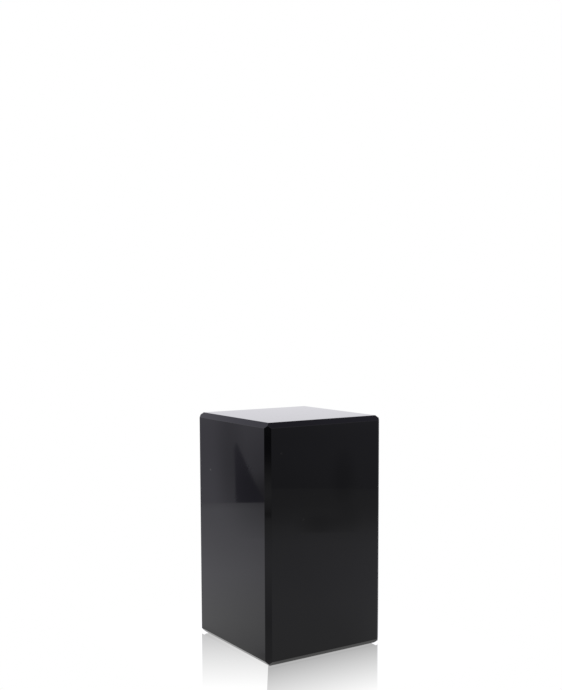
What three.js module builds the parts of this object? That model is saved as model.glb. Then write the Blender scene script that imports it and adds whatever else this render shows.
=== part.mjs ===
// Display plinth: a solid block of polished black glass, ground to a 45 degree
// bevel along all twelve edges, with a thin velour pad stuck to its underside so
// that it neither scratches nor slides on a shelf.
//
// Millimetres, +Z up. The origin is the middle of the face that it rests on.
// Stack, from the shelf up: velour pad, adhesive film, glass block.

import * as THREE from 'three';
import { ConvexGeometry } from 'three/addons/geometries/ConvexGeometry.js';

// ---------------------------------------------------------------- dimensions

const BLOCK_WIDTH = 70;
const BLOCK_DEPTH = 70;
const BLOCK_HEIGHT = 120;
const BEVEL = 2.5; // setback of each 45 degree bevel from the sharp edge

const PAD_INSET = 3; // from the edge of the flat underside to the pad
const PAD_CORNER_RADIUS = 4;
const PAD_THICKNESS = 0.375;
const FILM_THICKNESS = 0.125;

const CORNER_SEGMENTS = 8; // straight steps in a quarter turn of a pad's corner

// The pad and its film are cut together, to one outline.
const PAD_WIDTH = BLOCK_WIDTH - 2 * (BEVEL + PAD_INSET);
const PAD_DEPTH = BLOCK_DEPTH - 2 * (BEVEL + PAD_INSET);

// Heights of the joins in the stack.
const FILM_BOTTOM = PAD_THICKNESS;
const BLOCK_BOTTOM = PAD_THICKNESS + FILM_THICKNESS;

// ----------------------------------------------------------------- materials

const blackGlass = new THREE.MeshStandardMaterial({
  color: 0x050506,
  roughness: 0.03,
  metalness: 0,
});

const adhesive = new THREE.MeshStandardMaterial({
  color: 0xb9b3a2,
  roughness: 0.5,
  metalness: 0,
});

const blackVelour = new THREE.MeshStandardMaterial({
  color: 0x141416,
  roughness: 1,
  metalness: 0,
});

// ---------------------------------------------------------------- geometries

// A box with every edge ground at 45 degrees. Each corner of the box becomes four
// points: one on each of its three faces, where two bevels run out together, and
// the point where all three bevels meet, half a bevel in from every face.
function bevelledBlock(width, depth, height, bevel) {
  const half = new THREE.Vector3(width, depth, height).divideScalar(2);
  const setbacks = [
    new THREE.Vector3(0, bevel, bevel),
    new THREE.Vector3(bevel, 0, bevel),
    new THREE.Vector3(bevel, bevel, 0),
    new THREE.Vector3(bevel, bevel, bevel).divideScalar(2),
  ];
  const points = [];
  for (const sideX of [-1, 1]) {
    for (const sideY of [-1, 1]) {
      for (const sideZ of [-1, 1]) {
        const side = new THREE.Vector3(sideX, sideY, sideZ);
        for (const setback of setbacks) {
          points.push(half.clone().sub(setback).multiply(side));
        }
      }
    }
  }
  return new ConvexGeometry(points);
}

// A rectangle with round corners, centred on the origin.
function roundedRectangle(width, depth, radius) {
  const x = width / 2 - radius;
  const y = depth / 2 - radius;
  const quarter = Math.PI / 2;
  const outline = new THREE.Shape();
  outline.absarc(x, y, radius, 0, quarter);
  outline.absarc(-x, y, radius, quarter, 2 * quarter);
  outline.absarc(-x, -y, radius, 2 * quarter, 3 * quarter);
  outline.absarc(x, -y, radius, 3 * quarter, 4 * quarter);
  outline.closePath();
  return outline;
}

// A flat layer under the block, standing on z = 0.
function layer(thickness) {
  return new THREE.ExtrudeGeometry(
    roundedRectangle(PAD_WIDTH, PAD_DEPTH, PAD_CORNER_RADIUS),
    { depth: thickness, bevelEnabled: false, curveSegments: CORNER_SEGMENTS },
  );
}

// ------------------------------------------------------------------ assembly

function piece(name, geometry, material, z) {
  const mesh = new THREE.Mesh(geometry, material);
  mesh.name = name;
  mesh.position.z = z;
  return mesh;
}

const group = new THREE.Group();

group.add(piece('velour_pad', layer(PAD_THICKNESS), blackVelour, 0));
group.add(piece('adhesive_film', layer(FILM_THICKNESS), adhesive, FILM_BOTTOM));
group.add(piece(
  'glass_block',
  bevelledBlock(BLOCK_WIDTH, BLOCK_DEPTH, BLOCK_HEIGHT, BEVEL),
  blackGlass,
  BLOCK_BOTTOM + BLOCK_HEIGHT / 2,
));

export default group;
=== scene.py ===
"""The looks of a black glass display plinth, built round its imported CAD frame.

Every size is in metres, in the CAD's own frame: the plinth stands on z = 0, and its
front looks along -Y. The camera sees the front and, less squarely, the left face.
"""

import math

import bmesh
import bpy
from mathutils import Matrix, Vector


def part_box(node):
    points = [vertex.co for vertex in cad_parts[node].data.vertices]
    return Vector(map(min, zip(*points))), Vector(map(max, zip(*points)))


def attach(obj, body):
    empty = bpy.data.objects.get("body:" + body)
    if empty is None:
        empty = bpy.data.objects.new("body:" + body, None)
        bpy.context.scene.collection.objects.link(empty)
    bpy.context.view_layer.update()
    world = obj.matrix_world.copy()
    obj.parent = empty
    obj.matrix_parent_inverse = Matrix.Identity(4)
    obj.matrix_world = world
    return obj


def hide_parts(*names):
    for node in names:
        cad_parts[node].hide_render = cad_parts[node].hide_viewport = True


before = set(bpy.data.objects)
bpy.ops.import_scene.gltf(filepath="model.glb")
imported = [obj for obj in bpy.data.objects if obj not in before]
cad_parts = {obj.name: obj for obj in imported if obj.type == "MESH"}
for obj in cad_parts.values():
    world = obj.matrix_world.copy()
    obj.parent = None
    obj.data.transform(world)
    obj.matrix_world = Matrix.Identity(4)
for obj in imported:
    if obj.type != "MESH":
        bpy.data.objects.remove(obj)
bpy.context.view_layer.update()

MM = 0.001

# ------------------------------------------------------------------ dimensions

BLOCK_LOW, BLOCK_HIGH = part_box("glass_block")
FILM_LOW, FILM_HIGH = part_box("adhesive_film")
PAD_LOW, PAD_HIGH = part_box("velour_pad")
WIDTH = BLOCK_HIGH.x - BLOCK_LOW.x

RIDGE_RADIUS = 0.06 * MM  # a polished ridge between two faces isn't quite sharp
RIDGE_SEGMENTS = 3
PAD_CORNER_RADIUS = 4 * MM  # the film's corners are the same
CORNER_STEPS = 12  # straight steps in a quarter turn of such a corner
PAD_EDGE = 0.12 * MM  # how far in from its edge the pad is rounded
FILM_EDGE = 0.03 * MM

# The roughness of the polished glass, and what each thing on it adds.
GLASS_IOR = 1.5
POLISH = 0.028
SMUDGE_ROUGHNESS = 0.016
STREAK_ROUGHNESS = 0.008
BEVEL_ROUGHNESS = 0.02
DUST_ROUGHNESS = 0.6

DUST_COLOUR = (0.06, 0.06, 0.057)
DUST_SPOTS = [  # where a speck lies, its radius, both in millimetres, and its thickness
    (-35, 21, 91.3, 0.9, 1.0),
    (-26.8, -35, 105.5, 0.9, 0.15),
    (-14, -35, 71.7, 0.9, 0.14),
    (35, 12, 44, 0.45, 0.5),
    (35, -19, 97, 0.3, 0.4),
    (9, 35, 83, 0.5, 0.5),
    (-17, 35, 38, 0.35, 0.4),
    (-6, 19, 120.5, 0.4, 0.5),
    (23, -9, 120.5, 0.3, 0.4),
]

# How many features of each kind there are to a metre, roughly.
SMUDGE_SCALE = 30
STREAK_SCALE = (40, 40, 260)  # longer sideways than up
FINE_DUST_SCALE = 160
FINE_DUST_SHARE = 0.2  # of the cells of that scale, how many hold a speck
RAGGED_SCALE = 2400  # of the outline of a large speck
PILE_SCALE = 2600
NAP_SCALE = 110
CLOUD_SCALE = 160
BUBBLE_SCALE = 420

# ---------------------------------------------------------------------- camera

CAMERA_AZIMUTH = -32.83  # degrees round from the front, to the left
CAMERA_ELEVATION = 5.16
CAMERA_ROLL = -0.22
CAMERA_DISTANCE = 0.5273
CAMERA_TARGET = Vector((-0.0043, 0, 0.1242))
LENS_MM = 52.72
SHIFT_UP = 0.09


def toward(azimuth, elevation):
    """The direction from the plinth to something at an azimuth and elevation."""
    a = math.radians(azimuth)
    e = math.radians(elevation)
    return Vector((math.sin(a) * math.cos(e), -math.cos(a) * math.cos(e), math.sin(e)))


def make_camera():
    data = bpy.data.cameras.new("camera")
    data.lens = LENS_MM
    data.shift_y = SHIFT_UP
    data.clip_start = 0.01
    data.clip_end = 20
    camera = bpy.data.objects.new("camera", data)
    back = toward(CAMERA_AZIMUTH, CAMERA_ELEVATION)
    turn = (-back).to_track_quat("-Z", "Y").to_matrix()
    turn = turn @ Matrix.Rotation(math.radians(CAMERA_ROLL), 3, "Z")
    place = Matrix.Translation(CAMERA_TARGET + back * CAMERA_DISTANCE)
    camera.matrix_world = place @ turn.to_4x4()
    bpy.context.scene.collection.objects.link(camera)
    bpy.context.scene.camera = camera


# ----------------------------------------------------------------- node helpers


class Tree:
    """A node tree that is written as nested calls, inputs first."""

    def __init__(self, owner):
        owner.use_nodes = True
        self.tree = owner.node_tree
        self.tree.nodes.clear()

    def node(self, kind, inputs=None, **settings):
        made = self.tree.nodes.new(kind)
        for name, value in settings.items():
            setattr(made, name, value)
        for name, value in (inputs or {}).items():
            self.put(made.inputs[name], value)
        return made

    def put(self, socket, value):
        """Links a node or socket to an input, or sets the input to a plain value."""
        if isinstance(value, bpy.types.Node):
            value = value.outputs[0]
        if isinstance(value, bpy.types.NodeSocket):
            self.tree.links.new(value, socket)
        else:
            socket.default_value = value

    def math(self, operation, a, b=0.0, clamp=False):
        return self.node(
            "ShaderNodeMath", {0: a, 1: b}, operation=operation, use_clamp=clamp
        )

    def add(self, first, *others):
        for other in others:
            first = self.math("ADD", first, other)
        return first

    def dot(self, vector, direction):
        made = self.node(
            "ShaderNodeVectorMath", {0: vector, 1: direction}, operation="DOT_PRODUCT"
        )
        return made.outputs["Value"]

    def fade(self, value, low, high, to_low=0.0, to_high=1.0):
        """Eases from to_low to to_high as the value goes from low to high."""
        inputs = {
            "Value": value,
            "From Min": low,
            "From Max": high,
            "To Min": to_low,
            "To Max": to_high,
        }
        return self.node("ShaderNodeMapRange", inputs, interpolation_type="SMOOTHSTEP")

    def noise(self, vector, scale, detail=2.0, distortion=0.0):
        inputs = {
            "Vector": vector,
            "Scale": scale,
            "Detail": detail,
            "Distortion": distortion,
        }
        return self.node("ShaderNodeTexNoise", inputs)

    def ramp(self, value, stops):
        """A colour ramp. A stop is a place from 0 to 1, and a grey or a colour."""
        made = self.node("ShaderNodeValToRGB", {"Fac": value})
        elements = made.color_ramp.elements
        while len(elements) < len(stops):
            elements.new(1.0)
        for element, (place, colour) in zip(elements, stops):
            if not hasattr(colour, "__len__"):
                colour = (colour,) * 3
            element.position = place
            element.color = (*colour, 1.0)
        return made

    def mix(self, factor, a, b, blend="MIX"):
        made = self.node("ShaderNodeMix", data_type="RGBA", blend_type=blend)
        self.put(made.inputs["Factor"], factor)
        self.put(made.inputs["A"], colour4(a))
        self.put(made.inputs["B"], colour4(b))
        return made.outputs["Result"]

    def output(self, surface, kind="ShaderNodeOutputMaterial"):
        self.node(kind, {"Surface": surface})


def colour4(value):
    """A colour of three parts with its alpha, and anything else as it is."""
    if isinstance(value, tuple) and len(value) == 3:
        return (*value, 1.0)
    return value


# -------------------------------------------------------------------- materials


def black_glass():
    """Polished black glass: no colour of its own, and all its light is mirrored.

    The polish varies a little where it was wiped. The bevels are polished by hand,
    so they are a little less even. A few specks of dust lie on it.
    """
    material = bpy.data.materials.new("black_glass")
    t = Tree(material)
    place = t.node("ShaderNodeTexCoord").outputs["Object"]
    bevel = t.node("ShaderNodeAttribute", attribute_name="bevel").outputs["Fac"]

    smudge = t.fade(t.noise(place, SMUDGE_SCALE, 3, 0.6), 0.42, 0.7)
    streaked = t.node("ShaderNodeMapping", {"Vector": place, "Scale": STREAK_SCALE})
    streak = t.fade(t.noise(streaked, 1, 3), 0.45, 0.75)
    polish = t.add(
        POLISH,
        t.math("MULTIPLY", smudge, SMUDGE_ROUGHNESS),
        t.math("MULTIPLY", streak, STREAK_ROUGHNESS),
        t.math("MULTIPLY", bevel, BEVEL_ROUGHNESS),
    )

    speck = dust(t, place)
    haze = t.mix(smudge, (0.0003, 0.0003, 0.0004), (0.0008, 0.0008, 0.0009))
    colour = t.mix(speck, haze, DUST_COLOUR)
    rough = t.add(polish, t.math("MULTIPLY", speck, DUST_ROUGHNESS))

    shader = t.node(
        "ShaderNodeBsdfPrincipled",
        {"Base Color": colour, "Roughness": rough, "IOR": GLASS_IOR},
    )
    t.output(shader)
    return material


def dust(t, place):
    """How thick the dust lies, from 0 to 1: a few large specks, and a fine scatter."""
    cells = t.node("ShaderNodeTexVoronoi", {"Vector": place, "Scale": FINE_DUST_SCALE})
    fine = t.fade(cells.outputs["Distance"], 0.02, 0.05, 0.15, 0.0)
    chosen = t.node("ShaderNodeSeparateColor", {0: cells.outputs["Color"]})
    chosen = t.math("GREATER_THAN", chosen.outputs[0], 1 - FINE_DUST_SHARE)
    dusty = t.math("MULTIPLY", fine, chosen)
    ragged = t.fade(t.noise(place, RAGGED_SCALE, 2), 0.3, 0.7, 0.75, 1.35)
    for *spot, radius, thick in DUST_SPOTS:
        away = t.node(
            "ShaderNodeVectorMath", {0: place, 1: Vector(spot) * MM}, operation="DISTANCE"
        )
        away = t.math("MULTIPLY", away.outputs["Value"], ragged)
        speck = t.fade(away, 0.3 * radius * MM, radius * MM, thick, 0.0)
        dusty = t.math("MAXIMUM", dusty, speck)
    return dusty


def velour():
    """Short black pile, lighter where it catches the light at a low angle."""
    material = bpy.data.materials.new("black_velour")
    t = Tree(material)
    place = t.node("ShaderNodeTexCoord").outputs["Object"]
    pile = t.noise(place, PILE_SCALE, 3)
    nap = t.noise(place, NAP_SCALE, 3, 1.2)
    shade = t.mix(t.fade(pile, 0.3, 0.7), (0.003, 0.003, 0.0035), (0.034, 0.034, 0.037))
    colour = t.mix(t.fade(nap, 0.4, 0.6, 0, 0.4), shade, (0.024, 0.024, 0.027))
    bump = t.node(
        "ShaderNodeBump", {"Strength": 0.8, "Distance": 0.0001, "Height": pile}
    )
    inputs = {
        "Base Color": colour,
        "Roughness": t.fade(nap, 0.3, 0.7, 0.85, 1.0),
        "Normal": bump,
        "Sheen Weight": 0.6,
        "Sheen Roughness": 0.4,
        "Sheen Tint": (0.3, 0.3, 0.33, 1.0),
    }
    t.output(t.node("ShaderNodeBsdfPrincipled", inputs))
    return material


def adhesive():
    """A milky film of acrylic adhesive, with the odd trapped bubble."""
    material = bpy.data.materials.new("adhesive")
    t = Tree(material)
    place = t.node("ShaderNodeTexCoord").outputs["Object"]
    cloud = t.noise(place, CLOUD_SCALE, 4, 0.8)
    colour = t.mix(cloud, (0.34, 0.32, 0.27), (0.5, 0.48, 0.42))
    cells = t.node("ShaderNodeTexVoronoi", {"Vector": place, "Scale": BUBBLE_SCALE})
    bubble = t.fade(cells.outputs["Distance"], 0.05, 0.14, 1.0, 0.0)
    bump = t.node(
        "ShaderNodeBump", {"Strength": 0.3, "Distance": 0.00005, "Height": bubble}
    )
    inputs = {
        "Base Color": colour,
        "Roughness": t.fade(cloud, 0.3, 0.7, 0.35, 0.55),
        "Normal": bump,
    }
    t.output(t.node("ShaderNodeBsdfPrincipled", inputs))
    return material


# ----------------------------------------------------------------------- pieces


def add_mesh(name, mesh_maker, material):
    mesh = bpy.data.meshes.new(name)
    bm = bmesh.new()
    mesh_maker(bm)
    bmesh.ops.recalc_face_normals(bm, faces=bm.faces)
    bm.to_mesh(mesh)
    bm.free()
    mesh.materials.append(material)
    piece = bpy.data.objects.new(name, mesh)
    bpy.context.scene.collection.objects.link(piece)
    return piece


def cad_bevel():
    """How far the CAD block's bevels are set back, read from its top face."""
    corners = [v.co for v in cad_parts["glass_block"].data.vertices]
    on_top = [c.x for c in corners if BLOCK_HIGH.z - c.z < 0.01 * MM]
    return BLOCK_HIGH.x - max(on_top)


def block_mesh(bm):
    """The block, as the 32 corners that its six faces and twelve bevels share."""
    bevel = cad_bevel()
    half = (BLOCK_HIGH - BLOCK_LOW) / 2
    middle = (BLOCK_HIGH + BLOCK_LOW) / 2
    setbacks = [
        Vector((0, bevel, bevel)),
        Vector((bevel, 0, bevel)),
        Vector((bevel, bevel, 0)),
        Vector((bevel, bevel, bevel)) / 2,
    ]
    for side_x in (-1, 1):
        for side_y in (-1, 1):
            for side_z in (-1, 1):
                side = Vector((side_x, side_y, side_z))
                for setback in setbacks:
                    bm.verts.new(middle + (half - setback) * side)
    bmesh.ops.convex_hull(bm, input=bm.verts)
    bmesh.ops.dissolve_limit(
        bm, angle_limit=math.radians(1), verts=bm.verts, edges=bm.edges
    )
    on_bevel = bm.faces.layers.float.new("bevel")
    bm.normal_update()
    for face in bm.faces:
        face[on_bevel] = 1.0 if max(map(abs, face.normal)) < 0.9 else 0.0
        face.smooth = True


def glass_block():
    """The block, with its ridges rounded by a hair so that they catch the light."""
    block = add_mesh("block", block_mesh, black_glass())
    ridge = block.modifiers.new("ridges", "BEVEL")
    ridge.width = RIDGE_RADIUS
    ridge.segments = RIDGE_SEGMENTS
    ridge.limit_method = "ANGLE"
    ridge.harden_normals = True
    return block


def rounded_outline(low, high, radius):
    """The corners of a rectangle with round corners, anticlockwise."""
    outline = []
    centres = [
        (high.x - radius, high.y - radius),
        (low.x + radius, high.y - radius),
        (low.x + radius, low.y + radius),
        (high.x - radius, low.y + radius),
    ]
    for quarter, (x, y) in enumerate(centres):
        for step in range(CORNER_STEPS + 1):
            angle = math.radians(90) * (quarter + step / CORNER_STEPS)
            outline.append((x + radius * math.cos(angle), y + radius * math.sin(angle)))
    return outline


def slab(low, high, radius):
    """A mesh maker for a flat layer with round corners."""

    def make(bm):
        outline = rounded_outline(low, high, radius)
        bottom = bm.faces.new([bm.verts.new((x, y, low.z)) for x, y in outline])
        lifted = bmesh.ops.extrude_face_region(bm, geom=[bottom])["geom"]
        verts = [v for v in lifted if isinstance(v, bmesh.types.BMVert)]
        bmesh.ops.translate(bm, verts=verts, vec=(0, 0, high.z - low.z))

    return make


def soften(piece, width, segments):
    """Rounds the sharp edges of a layer."""
    edge = piece.modifiers.new("edge", "BEVEL")
    edge.width = width
    edge.segments = segments
    edge.limit_method = "ANGLE"
    edge.harden_normals = True
    for polygon in piece.data.polygons:
        polygon.use_smooth = True


def adhesive_film():
    film = add_mesh("film", slab(FILM_LOW, FILM_HIGH, PAD_CORNER_RADIUS), adhesive())
    soften(film, FILM_EDGE, 2)
    return film


def velour_pad():
    pad = add_mesh("pad", slab(PAD_LOW, PAD_HIGH, PAD_CORNER_RADIUS), velour())
    soften(pad, PAD_EDGE, 3)
    return pad


def place_piece(piece, node):
    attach(piece, "root")
    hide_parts(node)


# ------------------------------------------------------------------------ stage
#
# The plinth shows nothing but what it mirrors, so the studio is made as what it
# mirrors: a round white table, a pale tent above it, and the dim room past the
# table's edge. The camera itself sees only white.

TABLE_RADIUS = 6.85 * WIDTH
TABLE_FORWARD = 0.82 * WIDTH  # the plinth stands behind the table's middle
TABLE_TOP = -0.02 * MM  # a hair below the pad, so that their faces don't coincide
TABLE_SEGMENTS = 96
STAGE_POLISH = 0.03  # the roughness of the table's mirror and of the skirt
TABLE_REACH = 7.3 * WIDTH  # how far out from the plinth the falloffs below go
BACKDROP_DISTANCE = 6.35 * WIDTH

# Heights of directions, from -1, straight down, to 1, straight up: where the near part
# of the room gives way to its far part, and where that gives way to the tent.
FAR_ROOM_STARTS = (-0.18, -0.13)
TENT_STARTS = (-0.121, 0.03)

# The tent's light, by the height of the direction that it comes from: level to up.
TENT = [
    (0.00, (1.16, 1.15, 1.21)),
    (0.36, (1.10, 1.09, 1.15)),
    (0.50, (0.48, 0.47, 0.56)),
    (0.80, (0.24, 0.23, 0.30)),
    (1.00, (0.17, 0.16, 0.21)),
]

# The light of the table, and of the far and near parts of the room past its edge.
# Places go anticlockwise from the left: the front is 0.25, the right 0.5, the back 0.75.
TABLE_ROUND = [
    (0.00, 0.62),
    (0.09, 0.43),
    (0.32, 0.455),
    (0.345, 0.49),
    (0.37, 0.57),
    (0.45, 0.40),
    (0.59, 0.13),
    (0.70, 0.42),
    (0.84, 0.81),
    (0.90, 0.73),
    (1.00, 0.62),
]
FAR_ROOM_ROUND = [
    (0.00, (0.16, 0.16, 0.18)),
    (0.09, (0.05, 0.05, 0.058)),
    (0.30, (0.16, 0.16, 0.18)),
    (0.335, (0.21, 0.21, 0.24)),
    (0.37, (0.28, 0.28, 0.32)),
    (0.60, (0.09, 0.09, 0.10)),
    (0.70, (0.22, 0.21, 0.25)),
    (0.84, (0.45, 0.44, 0.51)),
    (1.00, (0.16, 0.16, 0.18)),
]
NEAR_ROOM_ROUND = [
    (0.00, (0.34, 0.33, 0.37)),
    (0.09, (0.34, 0.34, 0.36)),
    (0.335, (0.185, 0.185, 0.205)),
    (0.37, (0.27, 0.27, 0.30)),
    (0.60, (0.09, 0.09, 0.10)),
    (0.84, (0.49, 0.48, 0.55)),
    (1.00, (0.34, 0.33, 0.37)),
]

# How the table's light falls off, from the plinth to TABLE_REACH.
BACK_FALLOFF = [
    (0.00, (0.92, 0.92, 0.94)),
    (0.15, (1.01, 1.01, 1.04)),
    (0.34, (0.96, 0.95, 1.03)),
    (0.51, (0.83, 0.82, 0.90)),
    (0.68, (0.76, 0.75, 0.83)),
    (0.78, (0.74, 0.73, 0.81)),
    (0.85, (0.63, 0.62, 0.69)),
]
FRONT_FALLOFF = [
    (0.00, (1.00, 1.00, 1.02)),
    (0.25, (1.02, 1.02, 1.09)),
    (0.38, (0.96, 0.96, 1.04)),
    (0.55, (0.90, 0.90, 0.97)),
    (0.66, (0.78, 0.78, 0.83)),
    (0.73, (0.66, 0.66, 0.70)),
    (0.85, (0.565, 0.565, 0.60)),
    (1.00, (0.53, 0.53, 0.57)),
]

# The same for what the bevel between the front and left faces mirrors.
CORNER_AZIMUTH = -55
CORNER_FALLOFF = [
    (0.12, (0.87, 0.87, 0.91)),
    (0.17, (0.84, 0.84, 0.89)),
    (0.23, (0.75, 0.75, 0.80)),
    (0.37, (0.92, 0.92, 0.99)),
    (0.49, (1.05, 1.05, 1.13)),
    (0.60, (0.97, 0.97, 1.05)),
    (0.71, (0.83, 0.83, 0.88)),
    (0.81, (0.70, 0.70, 0.74)),
    (0.88, (0.54, 0.54, 0.57)),
    (0.95, (0.66, 0.66, 0.70)),
]

# Right at the plinth's foot, which keeps light off the table: all round, as above.
FOOT_ROUND = [
    (0.00, 0.64),
    (0.11, 0.64),
    (0.14, 0.38),
    (0.38, 0.38),
    (0.62, 0.50),
    (1.00, 0.64),
]
FOOT_REACH = 11 * MM
UNDER_LIGHT = (0.55, 0.55, 0.55)  # further in, seen only by the pad and the underside
UNDER_REACH = (-6 * MM, -3 * MM)

# How strongly the table mirrors the plinth: at its foot, and what is lost for each
# metre out from it. Left of a line through the front edge it is weaker still.
MIRROR_AT_FOOT = 0.56
MIRROR_LOSS = 0.75 / WIDTH
LEFT_MIRROR_AT_FOOT = 0.145
LEFT_MIRROR_LOSS = 0.44 / WIDTH
MIRROR_SPLIT = -33  # the line's direction, in degrees round from the front
LOW_ANGLE = (0.585, 0.64)  # Facing, from where there is no mirror to where it is full

BACKDROP_AZIMUTH = -149.2  # what the plinth's left face mirrors is about here
ROOM_AZIMUTH = 29.2  # and what its front face mirrors is about here

# The stand's outline, sideways and up in millimetres, and its glow: the stand is not lit,
# it shines with this painted light of its own, which paints the dark reflection in the
# left face.
STAND_OUTLINE = [(-29, 55), (-27.4, 48), (-28.5, -8), (-58, -8), (-58, -5), (-46, 17)]
STAND_GLOW = (0.19, 0.182, 0.232, 1)


def round_the_studio(t, direction, stops):
    """The light in a direction, from stops that go round the plinth."""
    angle = t.node(
        "ShaderNodeTexGradient", {"Vector": direction}, gradient_type="RADIAL"
    )
    return t.ramp(angle.outputs["Fac"], stops)


def distance_out(t, place):
    """How far a point of the table is out from the plinth's nearest side."""
    away = t.node("ShaderNodeVectorMath", {0: place}, operation="ABSOLUTE")
    parts = t.node("ShaderNodeSeparateXYZ", {0: away})
    out = t.math("MAXIMUM", parts.outputs["X"], parts.outputs["Y"])
    return t.math("SUBTRACT", out, WIDTH / 2)


def mirror_strength(t, place):
    """How much of a point of the table is mirror, from 0 to 1.

    Like any polished white board, it is a mirror only when seen at a low angle.
    """
    lost = t.math("MULTIPLY", distance_out(t, place), MIRROR_LOSS)
    all_round = t.math("SUBTRACT", MIRROR_AT_FOOT, lost)

    corner = Vector((-WIDTH / 2, -WIDTH / 2, 0))
    ahead = toward(MIRROR_SPLIT, 0)
    leftward = Vector((ahead.y, -ahead.x, 0))
    from_corner = t.node(
        "ShaderNodeVectorMath", {0: place, 1: corner}, operation="SUBTRACT"
    )
    nearer = t.math("MULTIPLY", t.dot(from_corner, ahead), LEFT_MIRROR_LOSS)
    left = t.math("SUBTRACT", LEFT_MIRROR_AT_FOOT, nearer)
    left = t.math("MINIMUM", left, all_round)
    on_left = t.math("GREATER_THAN", t.dot(from_corner, leftward), 0.0)
    strength = t.node("ShaderNodeMix", {"Factor": on_left, 2: all_round, 3: left})

    facing = t.node("ShaderNodeLayerWeight", {"Blend": 0.5}).outputs["Facing"]
    grazing = t.fade(facing, *LOW_ANGLE)
    return t.math("MULTIPLY", strength.outputs[0], grazing, clamp=True)


def table_light(t, place):
    """The table's light, as the plinth mirrors it."""
    out = t.node("ShaderNodeVectorMath", {0: place}, operation="LENGTH")
    out = t.math("DIVIDE", out.outputs["Value"], TABLE_REACH)
    heading = t.node("ShaderNodeVectorMath", {0: place}, operation="NORMALIZE")
    in_front = t.fade(t.dot(heading, (0, -1, 0)), -0.3, 0.3)
    falloff = t.mix(in_front, t.ramp(out, BACK_FALLOFF), t.ramp(out, FRONT_FALLOFF))
    at_corner = t.fade(t.dot(heading, toward(CORNER_AZIMUTH, 0)), 0.93, 0.98)
    falloff = t.mix(at_corner, falloff, t.ramp(out, CORNER_FALLOFF))
    lit = t.mix(1.0, round_the_studio(t, place, TABLE_ROUND), falloff, "MULTIPLY")
    outward = distance_out(t, place)
    foot = round_the_studio(t, place, FOOT_ROUND)
    foot = t.mix(t.fade(outward, *UNDER_REACH), UNDER_LIGHT, foot)
    return t.mix(t.fade(outward, 0.0, FOOT_REACH), foot, lit)


def table_material():
    """White to the camera, in its own light to the plinth, and clear from beneath."""
    material = bpy.data.materials.new("table")
    t = Tree(material)
    place = t.node("ShaderNodeTexCoord").outputs["Object"]
    mirrored = t.node("ShaderNodeEmission", {"Color": table_light(t, place)})
    white = t.node("ShaderNodeEmission", {"Color": (1, 1, 1, 1)})
    mirror = t.node(
        "ShaderNodeBsdfAnisotropic", {"Color": (1, 1, 1, 1), "Roughness": STAGE_POLISH}
    )
    strength = mirror_strength(t, place)
    seen = t.node("ShaderNodeMixShader", {0: strength, 1: white, 2: mirror})
    beneath = t.node("ShaderNodeNewGeometry").outputs["Backfacing"]
    clear = t.node("ShaderNodeBsdfTransparent")
    seen = t.node("ShaderNodeMixShader", {0: beneath, 1: seen, 2: clear})
    camera_ray = t.node("ShaderNodeLightPath").outputs["Is Camera Ray"]
    t.output(t.node("ShaderNodeMixShader", {0: camera_ray, 1: mirrored, 2: seen}))
    return material


def make_table():
    def disc(bm):
        middle = Matrix.Translation((0, -TABLE_FORWARD, TABLE_TOP))
        bmesh.ops.create_circle(
            bm,
            cap_ends=True,
            segments=TABLE_SEGMENTS,
            radius=TABLE_RADIUS,
            matrix=middle,
        )

    add_mesh("table", disc, table_material())


def make_world():
    """The tent and the room, which only the plinth and the table's mirror see."""
    world = bpy.data.worlds.new("studio")
    bpy.context.scene.world = world
    t = Tree(world)
    direction = t.node("ShaderNodeTexCoord").outputs["Generated"]
    height = t.node("ShaderNodeSeparateXYZ", {0: direction}).outputs["Z"]
    far_room = round_the_studio(t, direction, FAR_ROOM_ROUND)
    near_room = round_the_studio(t, direction, NEAR_ROOM_ROUND)
    room = t.mix(t.fade(height, *FAR_ROOM_STARTS), near_room, far_room)
    around = t.mix(t.fade(height, *TENT_STARTS), room, t.ramp(height, TENT))
    camera_ray = t.node("ShaderNodeLightPath").outputs["Is Camera Ray"]
    colour = t.mix(camera_ray, around, (1.0, 1.0, 1.0))
    t.output(t.node("ShaderNodeBackground", {"Color": colour}), "ShaderNodeOutputWorld")


def upright(azimuth, distance):
    """A frame for things that face the plinth: X is sideways, Y up, in metres."""
    out = toward(azimuth, 0)
    side = Vector((out.y, -out.x, 0))
    turn = Matrix((side, (0, 0, 1), -out)).transposed()
    return Matrix.Translation(out * distance) @ turn.to_4x4()


def hide_from_camera(thing, place):
    """Puts a thing in its place in the studio, where only mirrors show it."""
    thing.matrix_world = place
    thing.visible_camera = False


def make_stand():
    """A small dark stand past the table's edge, which the left face mirrors. It is not
    lit: it glows dimly with painted light of its own, a painted reflection.
    """

    def make(bm):
        bm.faces.new([bm.verts.new(Vector((x, y, 0)) * MM) for x, y in STAND_OUTLINE])

    material = bpy.data.materials.new("stand")
    t = Tree(material)
    # painted light: the stand's dim glow of its own, in place of being lit
    t.output(t.node("ShaderNodeEmission", {"Color": STAND_GLOW}))
    stand = add_mesh("stand", make, material)
    hide_from_camera(stand, upright(BACKDROP_AZIMUTH, BACKDROP_DISTANCE))


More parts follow.
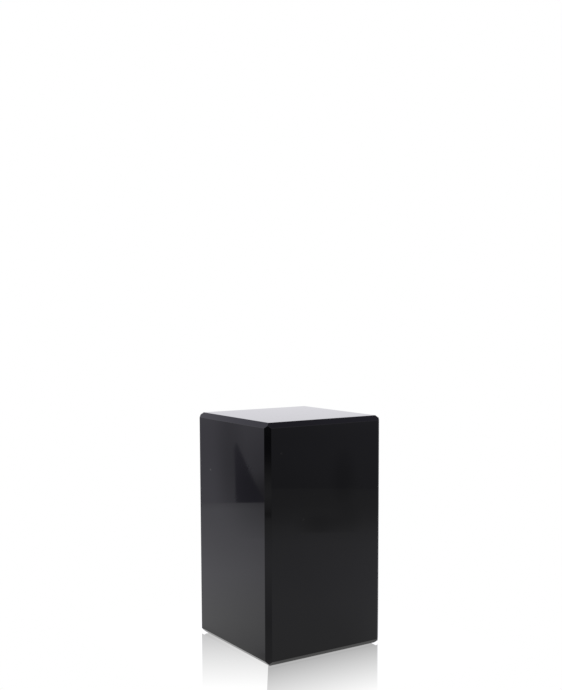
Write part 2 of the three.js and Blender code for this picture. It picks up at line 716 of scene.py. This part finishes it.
def make_shade(name, azimuth, distance, centre, radii, depth):
    """A soft dark patch in what a face mirrors, darkest in its middle."""

    def make(bm):
        corners = [(-1, -1), (1, -1), (1, 1), (-1, 1)]
        bm.faces.new([bm.verts.new((x, y, 0)) for x, y in corners])

    material = bpy.data.materials.new(name)
    t = Tree(material)
    place = t.node("ShaderNodeTexCoord").outputs["Object"]
    out = t.node("ShaderNodeVectorMath", {0: place}, operation="LENGTH")
    dark = t.fade(out.outputs["Value"], 0.1, 1.0, depth, 0.0)
    clear = t.node("ShaderNodeBsdfTransparent")
    black = t.node("ShaderNodeEmission", {"Color": (0, 0, 0, 1)})
    t.output(t.node("ShaderNodeMixShader", {0: dark, 1: clear, 2: black}))
    shade = add_mesh(name, make, material)
    middle = Matrix.Translation((centre[0] * MM, centre[1] * MM, 0))
    size = Matrix.Diagonal((radii[0] * MM, radii[1] * MM, 1, 1))
    hide_from_camera(shade, upright(azimuth, distance) @ middle @ size)


def make_shades():
    """Soft dark patches in what the left face, the front face and their bevel mirror.

    Their middles and radii are sideways and up, in millimetres.
    """
    left, front = BACKDROP_AZIMUTH, ROOM_AZIMUTH
    far = BACKDROP_DISTANCE * 1.01
    make_shade("shade_left", left, far, (-23, 40), (18, 100), 0.22)
    make_shade("shade_stand", left, 4 * WIDTH, (-52, 42), (40, 55), 0.31)
    make_shade("shade_base", left, far * 1.03, (-58, 0), (30, 30), 0.5)
    make_shade("shade_right", front, far, (-44, 24), (16, 36), 0.19)
    make_shade("shade_low", front, 4.6 * WIDTH, (-31, 8), (15, 22), 0.12)
    make_shade("shade_front", front, 4.6 * WIDTH, (-9, 5), (24, 14), 0.22)
    make_shade("shade_edge", -58, 5.9 * WIDTH, (0, 3), (60, 5), 0.42)


def make_skirt():
    """The block's upright faces, carried on down to the table.

    Only the table mirrors it, so that the plinth's mirror image starts at its foot.
    """
    bevel = cad_bevel()
    half = WIDTH / 2
    corner = [(half, bevel - half), (half, half - bevel)]
    turns = [Matrix.Rotation(math.radians(90 * quarter), 2) for quarter in range(4)]
    outline = [turn @ Vector(point) for turn in turns for point in corner]

    def make(bm):
        low = [bm.verts.new((*point, 0)) for point in outline]
        high = [bm.verts.new((*point, BLOCK_LOW.z + bevel)) for point in outline]
        for here in range(len(outline)):
            before = here - 1
            bm.faces.new((low[before], low[here], high[here], high[before]))

    material = bpy.data.materials.new("skirt")
    t = Tree(material)
    inside = t.node("ShaderNodeNewGeometry").outputs["Backfacing"]
    inputs = {"Base Color": (0, 0, 0, 1), "Roughness": STAGE_POLISH}
    glossy = t.node("ShaderNodeBsdfPrincipled", inputs)
    clear = t.node("ShaderNodeBsdfTransparent")
    t.output(t.node("ShaderNodeMixShader", {0: inside, 1: glossy, 2: clear}))
    hide_from_camera(add_mesh("skirt", make, material), Matrix())


# ------------------------------------------------------------------------- scene

bpy.context.scene.view_settings.view_transform = "Standard"

make_camera()
make_world()
make_table()
make_stand()
make_shades()
make_skirt()
place_piece(glass_block(), "glass_block")
place_piece(adhesive_film(), "adhesive_film")
place_piece(velour_pad(), "velour_pad")

bpy.context.view_layer.update()
